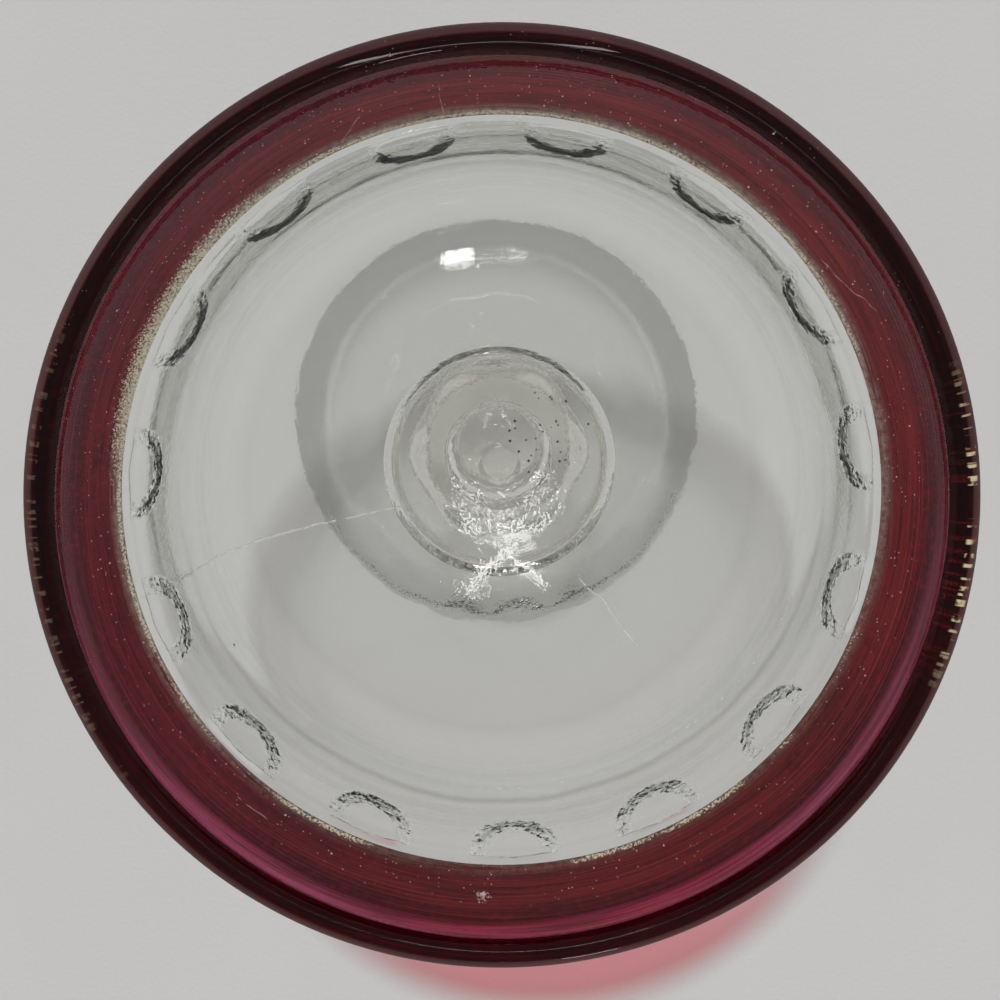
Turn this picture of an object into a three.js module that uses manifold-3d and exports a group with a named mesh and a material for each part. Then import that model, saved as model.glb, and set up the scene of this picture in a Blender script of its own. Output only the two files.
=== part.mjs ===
// A pedestal compote of clear pressed glass: a bowl with a ruby band round its flared top and a row
// of thumbprints below the band, on a knopped stem between two collars, on a round hollow foot.
// Millimetres, +Z up, origin at the middle of the circle that the foot stands on.

import * as THREE from 'three';
import { mergeVertices } from 'three/addons/utils/BufferGeometryUtils.js';
import Module from 'manifold-3d';

const wasm = await Module();
wasm.setup();

// The foot: a flat rim round a step, from which the top sweeps up to the neck.
const FOOT_RADIUS = 46.2;
const FOOT_EDGE_HEIGHT = 5.6;
const FOOT_EDGE_ROUNDING = 1.6;
const FOOT_RIM_RISE = 0.9;
const FOOT_RIM_ROUNDING = 1;
const FOOT_STEP_RADIUS = 37.2;
const FOOT_STEP_HEIGHT = 8.8;
const FOOT_STEP_RUN = 1.8;
const FOOT_STEP_ROUNDING = 1.4;
const FOOT_SHOULDER_RADIUS = 21.4;
const FOOT_SHOULDER_HEIGHT = 13.9;
const FOOT_SHOULDER_ROUNDING = 16;
const FOOT_HEIGHT = 17;
const FOOT_NECK_RADIUS = 12.6;
const REST_RING_INNER_RADIUS = 40;
const REST_RING_OUTER_RADIUS = 45;
const REST_RING_ROUNDING = 0.8;

// The hollow under the foot.
const HOLLOW_RADIUS = 37;
const HOLLOW_EDGE_DEPTH = 1.8;
const HOLLOW_EDGE_ROUNDING = 3;
const HOLLOW_DOME_RADIUS = 25.9;
const HOLLOW_DOME_DEPTH = 4.5;
const HOLLOW_DOME_ROUNDING = 12;
const HOLLOW_DEPTH = 6;

// The ring between the foot and the stem.
const LOWER_COLLAR_RADIUS = 14.4;
const LOWER_COLLAR_HEIGHT = 3.6;
const LOWER_COLLAR_SLOPE = 0.9;
const LOWER_COLLAR_ROUNDING = 1.1;

// The stem, whose radii are those of its corners. Its knop has six soft sides.
const STEM_HEIGHT = 60;
const STEM_BASE_RADIUS = 11;
const STEM_WAIST_RADIUS = 8;
const STEM_WAIST_HEIGHT = 22;
const STEM_WAIST_ROUNDING = 60;
const KNOP_HEIGHT = 20;
const KNOP_RADIUS = 17.6;
const KNOP_FOOT_RADIUS = 8.8;
const KNOP_FOOT_ROUNDING = 8;
const KNOP_SIDE_DROP = 12.4;
const KNOP_SIDE_ROUNDING = 5;
const KNOP_SHOULDER_DROP = 5.6;
const KNOP_SHOULDER_ROUNDING = 4;
const STEM_NECK_RADIUS = 10.2;
const STEM_NECK_HEIGHT = 3;
const STEM_NECK_ROUNDING = 2;
const STEM_SIDES = 6;
const STEM_FLATNESS = 0.08;
const SIDES_START = 4;
const SIDES_FADE = 8;

// The ring under the bowl.
const UPPER_COLLAR_RADIUS = 20.6;
const UPPER_COLLAR_HEIGHT = 6.4;
const UPPER_COLLAR_SLOPE = 1.6;
const UPPER_COLLAR_ROUNDING = 1.9;
const SEAT_MARGIN = 1;

// The bowl. Depths are measured down from the lip.
const RIM_RADIUS = 76.2;
const WELL_DEPTH = 58;
const WELL_RADIUS = 54.9;
const WELL_SIDE_DEPTH = 32;
const FLARE_RADIUS = 62;
const FLARE_DEPTH = 11.5;
const WALL = 3.7;
const BOTTOM_THICKNESS = 5;
const LIP_WIDTH = 4.6;
const LIP_ROUNDING = 2;
const LIP_SIDE_HEIGHT = 3.6;
const LIP_UNDER_ROUNDING = 1.6;
const LIP_UNDER_DROP = 1;
const LIP_INNER_ROUNDING = 1;
const LIP_INNER_DROP = 1.6;

// How far the curves of the well pull outwards and upwards, as shares of their height or radius.
const FLOOR_PULL = 0.66;
const SIDE_PULL = 0.62;
const WALL_PULL = 0.5;
const FLARE_PULL = 0.25;
const MOUTH_PULL = 0.17;
const LIP_PULL_OUT = 0.08;
const LIP_PULL_UP = 0.13;

// The ruby flash, a skin fused on the outside of the flare and over the lip.
const FLASH_THICKNESS = 0.4;
const FLASH_DEPTH = 15;

// The thumbprints, pressed in the wall below the flash. They drop from their widest place.
const THUMBPRINTS = 15;
const THUMBPRINT_WIDTH = 15.6;
const THUMBPRINT_DROP = 7;
const THUMBPRINT_CROWN = 1.3;
const THUMBPRINT_PRESS = 1.4;
const THUMBPRINT_PAD = 2.1;
const FLASH_CLEARANCE = 0.4;

// How finely the round shapes are cut into flat faces.
const ROUND_STEPS = 40;
const STEM_STEPS = 36;
const FILLET_STEPS = 3;
const FLOOR_STEPS = 8;
const WALL_STEPS = 5;
const FLARE_STEPS = 3;
const PAD_STEPS = 14;
const MERGE_DISTANCE = 1e-5;

// Heights of the joints, each piece standing on the one below.
const footTop = FOOT_HEIGHT;
const stemBottom = footTop + LOWER_COLLAR_HEIGHT;
const stemTop = stemBottom + STEM_HEIGHT;
const knopTop = stemTop - STEM_NECK_HEIGHT;
const bowlSeat = stemTop + UPPER_COLLAR_HEIGHT;
const wellFloor = bowlSeat + BOTTOM_THICKNESS;
const lipTop = wellFloor + WELL_DEPTH;
const glassTop = lipTop - FLASH_THICKNESS;

const clearGlass = { color: 0xe9eeea, roughness: 0.05, metalness: 0 };
const rubyGlass = { color: 0x6b1420, roughness: 0.08, metalness: 0 };

function point(radius, height) {
  return new THREE.Vector2(radius, height);
}

// Turns corners given as [radius, height, fillet] into an outline whose corners are rounded by arcs.
function rounded(corners) {
  const outline = [];
  corners.forEach(([radius, height, fillet = 0], i) => {
    const corner = point(radius, height);
    if (!fillet) {
      outline.push(corner);
      return;
    }
    const before = point(...corners[i - 1]).sub(corner);
    const after = point(...corners[i + 1]).sub(corner);
    const room = Math.min(before.length(), after.length()) / 2;
    const toBefore = before.normalize();
    const toAfter = after.normalize();
    const halfAngle = Math.acos(THREE.MathUtils.clamp(toBefore.dot(toAfter), -1, 1)) / 2;
    const reach = Math.min(fillet / Math.tan(halfAngle), room);
    const arcRadius = reach * Math.tan(halfAngle);
    const toCentre = toBefore.clone().add(toAfter).normalize();
    const centre = corner.clone().addScaledVector(toCentre, arcRadius / Math.sin(halfAngle));
    const start = corner.clone().addScaledVector(toBefore, reach).sub(centre);
    const end = corner.clone().addScaledVector(toAfter, reach).sub(centre);
    const sweep = Math.atan2(start.cross(end), start.dot(end));
    for (let step = 0; step <= FILLET_STEPS; step++) {
      const turned = start.clone().rotateAround(point(0, 0), (sweep * step) / FILLET_STEPS);
      outline.push(turned.add(centre));
    }
  });
  return outline;
}

// Moves an outline sideways, to the right of its direction, by the thickness at each point.
function offset(outline, thicknessAt) {
  return outline.map((here, i) => {
    const last = outline[Math.max(i - 1, 0)];
    const next = outline[Math.min(i + 1, outline.length - 1)];
    const along = next.clone().sub(last).normalize();
    return here.clone().addScaledVector(point(along.y, -along.x), thicknessAt(here));
  });
}

// Spins an outline of (radius, height) points round the Z axis.
function spin(outline, steps = ROUND_STEPS) {
  const geometry = new THREE.LatheGeometry(outline, steps);
  geometry.rotateX(Math.PI / 2);
  geometry.deleteAttribute('normal');
  geometry.deleteAttribute('uv');
  return mergeVertices(geometry, MERGE_DISTANCE);
}

// How far a soft six-sided section falls short of its corner radius at an angle, as a share of it.
function sectionDip(angle) {
  return STEM_FLATNESS * (1 - Math.cos(STEM_SIDES * angle)) / 2;
}

function footOutline() {
  return rounded([
    [0, HOLLOW_DEPTH],
    [HOLLOW_DOME_RADIUS, HOLLOW_DOME_DEPTH, HOLLOW_DOME_ROUNDING],
    [HOLLOW_RADIUS, HOLLOW_EDGE_DEPTH, HOLLOW_EDGE_ROUNDING],
    [REST_RING_INNER_RADIUS, 0],
    [REST_RING_OUTER_RADIUS, 0],
    [FOOT_RADIUS, FOOT_RADIUS - REST_RING_OUTER_RADIUS, REST_RING_ROUNDING],
    [FOOT_RADIUS, FOOT_EDGE_HEIGHT, FOOT_EDGE_ROUNDING],
    [FOOT_STEP_RADIUS + FOOT_STEP_RUN, FOOT_EDGE_HEIGHT + FOOT_RIM_RISE, FOOT_RIM_ROUNDING],
    [FOOT_STEP_RADIUS, FOOT_STEP_HEIGHT, FOOT_STEP_ROUNDING],
    [FOOT_SHOULDER_RADIUS, FOOT_SHOULDER_HEIGHT, FOOT_SHOULDER_ROUNDING],
    [FOOT_NECK_RADIUS, FOOT_HEIGHT],
    [0, FOOT_HEIGHT],
  ]);
}

// A round ring with flat faces, whose side slopes in above and below to the pieces it joins.
function collarOutline({ radius, bottom, height, slope, rounding, lowerSeat, upperSeat }) {
  const top = bottom + height;
  return rounded([
    [0, bottom],
    [lowerSeat, bottom],
    [radius, bottom + slope, rounding],
    [radius, top - slope, rounding],
    [upperSeat, top],
    [0, top],
  ]);
}

function stemOutline() {
  return rounded([
    [0, stemBottom],
    [STEM_BASE_RADIUS, stemBottom],
    [STEM_WAIST_RADIUS, stemBottom + STEM_WAIST_HEIGHT, STEM_WAIST_ROUNDING],
    [KNOP_FOOT_RADIUS, knopTop - KNOP_HEIGHT, KNOP_FOOT_ROUNDING],
    [KNOP_RADIUS, knopTop - KNOP_SIDE_DROP, KNOP_SIDE_ROUNDING],
    [KNOP_RADIUS, knopTop - KNOP_SHOULDER_DROP, KNOP_SHOULDER_ROUNDING],
    [STEM_NECK_RADIUS, knopTop, STEM_NECK_ROUNDING],
    [STEM_NECK_RADIUS, stemTop],
    [0, stemTop],
  ]);
}

// The stem is round up to its knop, where six soft sides begin, and runs out into a round seat.
function stemGeometry() {
  const geometry = spin(stemOutline(), STEM_STEPS);
  const position = geometry.getAttribute('position');
  const sidesBottom = knopTop - KNOP_HEIGHT - SIDES_START;
  for (let i = 0; i < position.count; i++) {
    const x = position.getX(i);
    const y = position.getY(i);
    const z = position.getZ(i);
    const fromBottom = (z - sidesBottom) / SIDES_FADE;
    const fromTop = (knopTop - z) / STEM_NECK_HEIGHT;
    const share = THREE.MathUtils.clamp(Math.min(fromBottom, fromTop), 0, 1);
    const scale = 1 - share * sectionDip(Math.atan2(y, x));
    position.setXY(i, x * scale, y * scale);
  }
  return geometry;
}

// The inside of the bowl, from the middle of its floor up to the lip.
function wellOutline() {
  const sideHeight = lipTop - WELL_SIDE_DEPTH;
  const flareHeight = lipTop - FLARE_DEPTH;
  const lipRadius = RIM_RADIUS - LIP_WIDTH;
  const lipHeight = glassTop - LIP_INNER_DROP;
  const rise = sideHeight - wellFloor;
  const climb = flareHeight - sideHeight;
  const floor = new THREE.CubicBezierCurve(
    point(0, wellFloor),
    point(WELL_RADIUS * FLOOR_PULL, wellFloor),
    point(WELL_RADIUS, sideHeight - rise * SIDE_PULL),
    point(WELL_RADIUS, sideHeight),
  );
  const side = new THREE.CubicBezierCurve(
    point(WELL_RADIUS, sideHeight),
    point(WELL_RADIUS, sideHeight + climb * WALL_PULL),
    point(FLARE_RADIUS - climb * FLARE_PULL, flareHeight - climb * FLARE_PULL),
    point(FLARE_RADIUS, flareHeight),
  );
  const flare = new THREE.CubicBezierCurve(
    point(FLARE_RADIUS, flareHeight),
    point(FLARE_RADIUS + climb * MOUTH_PULL, flareHeight + climb * MOUTH_PULL),
    point(lipRadius - climb * LIP_PULL_OUT, lipHeight - climb * LIP_PULL_UP),
    point(lipRadius, lipHeight),
  );
  return [
    ...floor.getPoints(FLOOR_STEPS),
    ...side.getPoints(WALL_STEPS).slice(1),
    ...flare.getPoints(FLARE_STEPS).slice(1),
  ];
}

// The outside of the bowl, from the seat on the collar up to the underside of the lip.
function wallOutline() {
  const sideHeight = lipTop - WELL_SIDE_DEPTH;
  const thicknessAt = ({ y }) => {
    const share = THREE.MathUtils.clamp((sideHeight - y) / (sideHeight - wellFloor), 0, 1);
    return WALL + (BOTTOM_THICKNESS - WALL) * share * share;
  };
  const lipUnderside = glassTop - LIP_SIDE_HEIGHT - LIP_UNDER_DROP;
  const seatEdge = UPPER_COLLAR_RADIUS + SEAT_MARGIN;
  return offset(well, thicknessAt).filter(({ x, y }) => y < lipUnderside && x > seatEdge);
}

// The lip, from the top of the wall round to the top of the well.
function lipOutline() {
  const outer = wall.at(-1);
  const inner = well.at(-1);
  const side = RIM_RADIUS - FLASH_THICKNESS;
  return rounded([
    [outer.x, outer.y],
    [side, glassTop - LIP_SIDE_HEIGHT, LIP_UNDER_ROUNDING],
    [side, glassTop, LIP_ROUNDING],
    [inner.x + LIP_INNER_ROUNDING, glassTop, LIP_INNER_ROUNDING],
    [inner.x, inner.y],
  ]).slice(1);
}

// The whole section of the bowl: the seat, the outside, the lip and the inside.
function bowlOutline() {
  return [
    point(0, bowlSeat),
    point(UPPER_COLLAR_RADIUS, bowlSeat),
    ...wall,
    ...lip,
    ...well.slice(0, -1).reverse(),
  ];
}

// Where the outside of the bowl passes a height.
function wallPointAt(height) {
  const above = wall.findIndex(({ y }) => y >= height);
  const lower = wall[above - 1];
  const upper = wall[above];
  return lower.clone().lerp(upper, (height - lower.y) / (upper.y - lower.y));
}

// The skin that the flash makes on the bowl, from its edge on the wall up and over the lip.
function flashOutline() {
  const edge = wallPointAt(lipTop - FLASH_DEPTH);
  const covered = [edge, ...wall.filter(({ y }) => y > edge.y), ...lip];
  const skin = offset(covered, () => FLASH_THICKNESS);
  return [...skin, ...covered.reverse(), skin[0]];
}

function solid(geometry) {
  return new wasm.Manifold(new wasm.Mesh({
    numProp: 3,
    vertProperties: new Float32Array(geometry.getAttribute('position').array),
    triVerts: new Uint32Array(geometry.getIndex().array),
  }));
}

function geometryOf(body) {
  const { vertProperties, triVerts } = body.getMesh();
  const geometry = new THREE.BufferGeometry();
  geometry.setAttribute('position', new THREE.BufferAttribute(vertProperties, 3));
  geometry.setIndex(new THREE.BufferAttribute(triVerts, 1));
  return geometry;
}

// A pad, lying along the wall, that presses one thumbprint: an oval cut off flat near its middle.
function thumbprintPad(angle) {
  const top = lipTop - FLASH_DEPTH - FLASH_CLEARANCE;
  const widest = wallPointAt(top - THUMBPRINT_CROWN);
  const lowest = wallPointAt(top - THUMBPRINT_CROWN - THUMBPRINT_DROP);
  const lean = Math.atan2(widest.x - lowest.x, widest.y - lowest.y);
  const pad = new THREE.SphereGeometry(1, PAD_STEPS, PAD_STEPS);
  const proud = THUMBPRINT_PAD - THUMBPRINT_PRESS;
  const cut = Math.sqrt(1 - (proud / THUMBPRINT_PAD) ** 2);
  pad.scale(THUMBPRINT_PAD, THUMBPRINT_WIDTH / 2 / cut, widest.distanceTo(lowest) / cut);
  pad.rotateY(lean);
  pad.translate(widest.x + proud, 0, widest.y);
  pad.rotateZ(angle);
  pad.deleteAttribute('normal');
  pad.deleteAttribute('uv');
  return solid(mergeVertices(pad, MERGE_DISTANCE)).trimByPlane([0, 0, -1], -top);
}

function bowlGeometry() {
  let bowl = solid(spin(bowlOutline()));
  for (let i = 0; i < THUMBPRINTS; i++) {
    const angle = -Math.PI / 2 + (i * 2 * Math.PI) / THUMBPRINTS;
    bowl = bowl.subtract(thumbprintPad(angle));
  }
  return geometryOf(bowl);
}

function piece(name, geometry, finish) {
  const mesh = new THREE.Mesh(geometry, new THREE.MeshStandardMaterial(finish));
  mesh.name = name;
  return mesh;
}

const well = wellOutline();
const wall = wallOutline();
const lip = lipOutline();

const lowerCollar = {
  radius: LOWER_COLLAR_RADIUS,
  bottom: footTop,
  height: LOWER_COLLAR_HEIGHT,
  slope: LOWER_COLLAR_SLOPE,
  rounding: LOWER_COLLAR_ROUNDING,
  lowerSeat: FOOT_NECK_RADIUS,
  upperSeat: STEM_BASE_RADIUS,
};
const upperCollar = {
  radius: UPPER_COLLAR_RADIUS,
  bottom: stemTop,
  height: UPPER_COLLAR_HEIGHT,
  slope: UPPER_COLLAR_SLOPE,
  rounding: UPPER_COLLAR_ROUNDING,
  lowerSeat: STEM_NECK_RADIUS,
  upperSeat: UPPER_COLLAR_RADIUS - SEAT_MARGIN,
};

const compote = new THREE.Group();
compote.add(
  piece('foot', spin(footOutline()), clearGlass),
  piece('lower_collar', spin(collarOutline(lowerCollar)), clearGlass),
  piece('stem', stemGeometry(), clearGlass),
  piece('upper_collar', spin(collarOutline(upperCollar)), clearGlass),
  piece('bowl', bowlGeometry(), clearGlass),
  piece('ruby_flash', spin(flashOutline()), rubyGlass),
);

export default compote;
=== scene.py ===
"""A pedestal compote of clear pressed glass with a ruby band, seen from above into its bowl."""
import math

import bpy
from mathutils import Matrix, Vector


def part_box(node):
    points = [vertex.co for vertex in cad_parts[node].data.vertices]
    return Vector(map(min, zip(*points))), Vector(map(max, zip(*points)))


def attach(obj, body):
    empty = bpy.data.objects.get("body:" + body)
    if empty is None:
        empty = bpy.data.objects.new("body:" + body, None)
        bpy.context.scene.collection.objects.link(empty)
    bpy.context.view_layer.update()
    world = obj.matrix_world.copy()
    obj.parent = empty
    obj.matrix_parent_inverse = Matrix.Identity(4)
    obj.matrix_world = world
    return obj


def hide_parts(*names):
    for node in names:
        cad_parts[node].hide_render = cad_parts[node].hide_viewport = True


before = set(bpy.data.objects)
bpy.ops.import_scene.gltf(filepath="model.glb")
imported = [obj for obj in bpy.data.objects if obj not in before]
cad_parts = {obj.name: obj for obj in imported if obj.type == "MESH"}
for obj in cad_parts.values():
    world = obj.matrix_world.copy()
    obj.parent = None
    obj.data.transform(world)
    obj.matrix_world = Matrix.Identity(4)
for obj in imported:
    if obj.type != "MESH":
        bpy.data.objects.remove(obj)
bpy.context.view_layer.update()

MM = 0.001

# Where the pieces lie, from the frame.
foot_high = Vector(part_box("foot")[1])
lower_collar_low, lower_collar_high = (Vector(corner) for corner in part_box("lower_collar"))
stem_low, stem_high = (Vector(corner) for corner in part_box("stem"))
upper_collar_low, upper_collar_high = (Vector(corner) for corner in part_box("upper_collar"))
bowl_low = Vector(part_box("bowl")[0])
flash_high = Vector(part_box("ruby_flash")[1])

LIP_TOP = flash_high.z
RIM_RADIUS = flash_high.x
BOWL_SEAT = bowl_low.z

# The bowl, as the solids have it except for its lean. Depths are measured down from the lip.
FLASH_THICKNESS = 0.4 * MM
FLASH_DEPTH = 15 * MM
BOTTOM_THICKNESS = 5 * MM
WALL = 3.7 * MM
WELL_FLOOR = BOWL_SEAT + BOTTOM_THICKNESS
WELL_RADIUS = 54.9 * MM
WELL_SIDE_DEPTH = 32 * MM
FLARE_RADIUS = 62 * MM
FLARE_DEPTH = 11.5 * MM
LIP_WIDTH = 4.6 * MM
LIP_ROUNDING = 2 * MM
LIP_SIDE_HEIGHT = 3.6 * MM
LIP_UNDER_ROUNDING = 1.6 * MM
LIP_UNDER_DROP = 1 * MM
LIP_INNER_ROUNDING = 1 * MM
LIP_INNER_DROP = 1.6 * MM
SEAT_MARGIN = 1 * MM
FLASH_EDGE_SHARE = 0.06  # of the flash's thickness, at its edge
FLASH_FADE = 3 * MM
EDGE_ROOM = 0.05 * MM  # the wall's other points stay this far from the edge of the band

# How far the curves of the well pull outwards and upwards, as shares of their height or radius.
FLOOR_PULL = 0.66
SIDE_PULL = 0.62
WALL_PULL = 0.5
FLARE_PULL = 0.25
MOUTH_PULL = 0.17
LIP_PULL_OUT = 0.08
LIP_PULL_UP = 0.13
WELL_LEAN = 2.4 * MM  # how far the pull at the well's side leans inwards

# The thumbprints.
THUMBPRINTS = 15
THUMBPRINT_WIDTH = 15.6 * MM
FLASH_CLEARANCE = 0.4 * MM
PRINT_BOTTOM = 126.3 * MM
PRINT_RISE = 7 * MM  # from the lowest point of a print to its widest
PRINT_DEPTH = 0.3 * MM
PRINT_RIM = 0.36  # share of a print that its sloping rim takes
PRINT_SPAN = 1.12  # the width that the close columns of a print take, in prints
PRINT_MARGIN = 1 * MM
GROOVE_SHARE = 0.12  # of a print's depth, all round above the bead
PRINT_TOP_FADE = 0.7 * MM
PRINT_FAR = 2.0  # the reach that stands for a place away from the prints
BEAD_PLACE = 133.3 * MM
BEAD_WIDTH = 0.5 * MM
BEAD_HEIGHT = 0.02 * MM
BEAD_START = 0.9  # the reach at which the bead sets in beside a print
BEAD_FADE = 0.15

# The scalloped ring under the bowl.
SCALLOPS = 15
SCALLOP_RADIUS = 27 * MM
SCALLOP_SWING = 1.3 * MM
SCALLOP_WIDTH = 1.5 * MM
SCALLOP_HEIGHT = 0.2 * MM
SCALLOP_SPREAD = 3  # in widths

# The foot.
FOOT_EDGE_HEIGHT = 5.6 * MM
FOOT_EDGE_ROUNDING = 1.6 * MM
FOOT_RIM_RISE = 0.9 * MM
FOOT_RIM_ROUNDING = 1 * MM
FOOT_STEP_RADIUS = 37.2 * MM
FOOT_STEP_HEIGHT = 8.8 * MM
FOOT_STEP_RUN = 1.8 * MM
FOOT_STEP_ROUNDING = 1.4 * MM
FOOT_SHOULDER_RADIUS = 21.42 * MM
FOOT_SHOULDER_HEIGHT = 13.94 * MM
FOOT_SHOULDER_ROUNDING = 16 * MM
FOOT_NECK_RADIUS = 12.6 * MM
REST_RING_INNER_RADIUS = 40 * MM
REST_RING_OUTER_RADIUS = 45 * MM
REST_RING_ROUNDING = 0.8 * MM
HOLLOW_RADIUS = 37 * MM
HOLLOW_EDGE_DEPTH = 1.8 * MM
HOLLOW_EDGE_ROUNDING = 3 * MM
HOLLOW_DOME_RADIUS = 25.9 * MM
HOLLOW_DOME_DEPTH = 4.5 * MM
HOLLOW_DOME_ROUNDING = 12 * MM
HOLLOW_DEPTH = 6 * MM

# The collars, as shares of their height.
COLLAR_SLOPE = 0.25
COLLAR_ROUNDING = 0.3

# The stem and its knop.
STEM_BASE_RADIUS = 11 * MM
STEM_WAIST_RADIUS = 8 * MM
STEM_WAIST_HEIGHT = 22 * MM
STEM_WAIST_ROUNDING = 60 * MM
KNOP_HEIGHT = 20 * MM
KNOP_RADIUS = 17.6 * MM
KNOP_FOOT_RADIUS = 8.8 * MM
KNOP_FOOT_ROUNDING = 8 * MM
KNOP_SIDE_DROP = 12.4 * MM
KNOP_SIDE_ROUNDING = 5 * MM
KNOP_SHOULDER_DROP = 5.6 * MM
KNOP_SHOULDER_ROUNDING = 4 * MM
STEM_NECK_RADIUS = 10.2 * MM
STEM_NECK_HEIGHT = 3 * MM
STEM_NECK_ROUNDING = 2 * MM
STEM_SIDES = 6
STEM_FLATNESS = 0.08
SIDES_START = 4 * MM
SIDES_FADE = 8 * MM

# How finely the round shapes are cut.
FILLET_STEPS = 8
CURVE_STEPS = 36
PRINT_COLUMNS = 28
PLAIN_COLUMNS = 4
ROUND_COLUMNS = 240
FOOT_COLUMNS = 600
SHARP_ANGLE = math.radians(38)
ON_AXIS = 1e-9

# The camera. The view runs down into the bowl, a little off its axis.
VIEW_DISTANCE = 0.320
VIEW_TILT = math.radians(8.95)
VIEW_ROLL = math.radians(-3.71)
VIEW_TURN = math.radians(1.7)
VIEW_ASIDE = -0.5 * MM
VIEW_ABOVE = 2.19 * MM
FOCAL_LENGTH = 2.02  # in picture widths
SENSOR_WIDTH = 36
CLIP_START = 0.01

# The glass: how its faces wave, and what it lets through to the eye and to lamps.
GLASS_IOR = 1.5
FINE_RIPPLE = 0.012 * MM
MIDDLE_RIPPLE = 0.12 * MM
STEM_RIPPLE = 0.06 * MM
FOOT_RIPPLE = 0.008 * MM
LARGE_WAVES = 3  # in ripples
FINE_SHARE = 0.7  # of a ripple
BAND_WAVES = 0.04 * MM
BAND_RIPPLE = 0.012 * MM
CLEAR_TINT = (0.962, 0.968, 0.958)
CLEAR_SHADE = (0.955, 0.957, 0.953)
STEM_TINT = (0.968, 0.968, 0.953)
FOOT_TINT = (0.985, 0.988, 0.98)
FOOT_SHADE = (0.985, 0.987, 0.983)
FOOT_DARK_RING = (38.5, -3.5)  # the radius and the place along Y of the pale middle's edge
DARK_RING_FADE = 3
DARK_RING_SHARE = 0.42
EDGE_BLEND = 0.1  # how narrow the dark edge is where glass is seen on edge
EDGE_SHADE = (0.55, 0.55, 0.55)
FLASH_JOINT = (1.0, 1.0, 1.0)
STEM_JOINT = (0.996, 0.995, 0.988)

# The rough rims of the prints. Heights are shares of their depth.
FLECK_DEPTH = 0.5 * MM
RIDGES = 42.0  # radians from a print's middle to its edge
RIDGE_WANDER = 9.0
RIDGE_HEIGHT = 0.035
CONTOUR = (0.98, 1.02)  # as reaches
CONTOUR_HEIGHT = 0.04
FAR_ROUGHNESS = 0.25  # share of it that is left on the far side

# The inside of the bowl. In the materials, places are in millimetres, and a side is a direction from
# the axis with its spread, in degrees from +X. Specks are given by the size of their cells, the share
# of the cells that hold one and how far it reaches in its cell.
NEAR_PRINTS = (-90, 150)
MIDDLE_FADE = (20.0, 12.0)
DIMPLE_RADIUS = 4.1
DIMPLE_SLOPE = 1.2
DIMPLE_DEPTH = 0.18 * MM
STREAK_HEIGHTS = (121.6, 123.4)  # painted shade: a darker streak in the glass below the prints
STREAK_WANDER = 5.0
STREAK_SIDE = (-85, 120)
SPARKLE_HEIGHTS = (117.6, 118.4)
SPARKLE_SIDES = ((-42, 24), (-90, 18))
SPARKLE_SPECKS = (1.1, 0.75, 0.36)
SPECK_RAGGEDNESS = 3.5  # cells of noise in a cell of specks
SPECK_CORE = 0.6  # share of a speck that is solid
DUST_PLACES = (((10.2, 4.9, 92.5), 10.5, 0.75), ((-48.1, -26.5, 118.0), 2.6, 0.8))
DUST_SIZE = 1.5
DUST_REACH = 0.2
DUST_CORE = 0.7
LONG_SCRATCHES = (  # where each starts and ends, seen from above, and its width
    ((-58.0, -13.5), (-17.0, -7.0), 0.22),
    ((14.5, -22.0), (24.0, -33.5), 0.2),
)
SCRATCH_DEPTH = 0.08 * MM
SCRATCH_WANDER = 2.4
SCRATCH_CORE = 0.3  # share of its width
SCRATCH_ENDS = 0.1  # share of its length

# The zones of the ruby band by height and by radius, and its sides.
BAND_HEIGHTS = (134.6, 150.0)
ZONE_WANDER = 2.2
FAR_LIP_FADE = (142.0, 145.0)
MAGENTA_HEIGHTS = (141.9, 145.9)
DARK_LINE = (143.1, 143.2)
GHOST_HEIGHTS = (136.6, 138.6)
GHOST_TURN = 0.9  # in radians of the wave that sets the ghosts
LINE_CALM = 0.7  # share of the wander that the dark line leaves out
CALM_FADE = (147.0, 145.0)
EDGE_FADE = (74.3, 74.7)
LEFT_SIDE = (185, 100)
FAR_LIP_SIDE = (95, 90)
MAGENTA_SIDE = (-88, 95)
PINK_SIDE = (-84, 62)

# The gilding and the wear of the band. A gain comes with the base that it is added to.
FILM_FADE = (136.8, 135.0)
FILM_SIDE = (105, 175)
FILM_GAIN = (1.0, 0.25)
BROAD_GILT_FADE = (138.6, 135.2)
BROAD_GILT_SIDE = (150, 36)
NARROW_GILT = (135.0, 135.7)
GILT_THREAD = (135.0, 135.5)
GROOVE = (135.75, 135.95)
FAR_EDGE_SIDE = (98, 80)
GILT_POWER = 0.35
CHIPS_FADE = (142.5, 136.0)
CHIPPED_SIDE = (90, 130)
CHIPPED_GAIN = (0.4, 0.35)
LARGE_CHIPS = (1.5, 0.16, 0.13)
SMALL_CHIPS = (0.6, 0.22, 0.18)
CHALK_PLACE = (-5.6, -67.0, 139.6)
CHALK_FADE = (3.4, 0.8)
# painted shade in streaks on the lip's outer edge
OUTER_EDGE_SHADE_FADE = (74.4, 75.0)
OUTER_EDGE_SHADE_GAIN = (0.5, 0.35)
DASH_RADII = (73.9, 75.4)
RIGHT_DASHES = (-4, 22)
LEFT_DASHES = (184, 36)
LEFT_DASH_SHARE = 0.12
BAND_SCRATCHES = (
    ((-8.0, 69.5), (-6.0, 59.0), 0.10),
    ((-24.0, 60.0), (-21.0, 64.5), 0.10),
    ((-46.5, -49.0), (-42.0, -53.0), 0.10),
    ((54.0, 38.0), (62.0, 30.0), 0.12),
    ((-49.0, 39.0), (-60.0, 29.0), 0.12),
)
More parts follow.
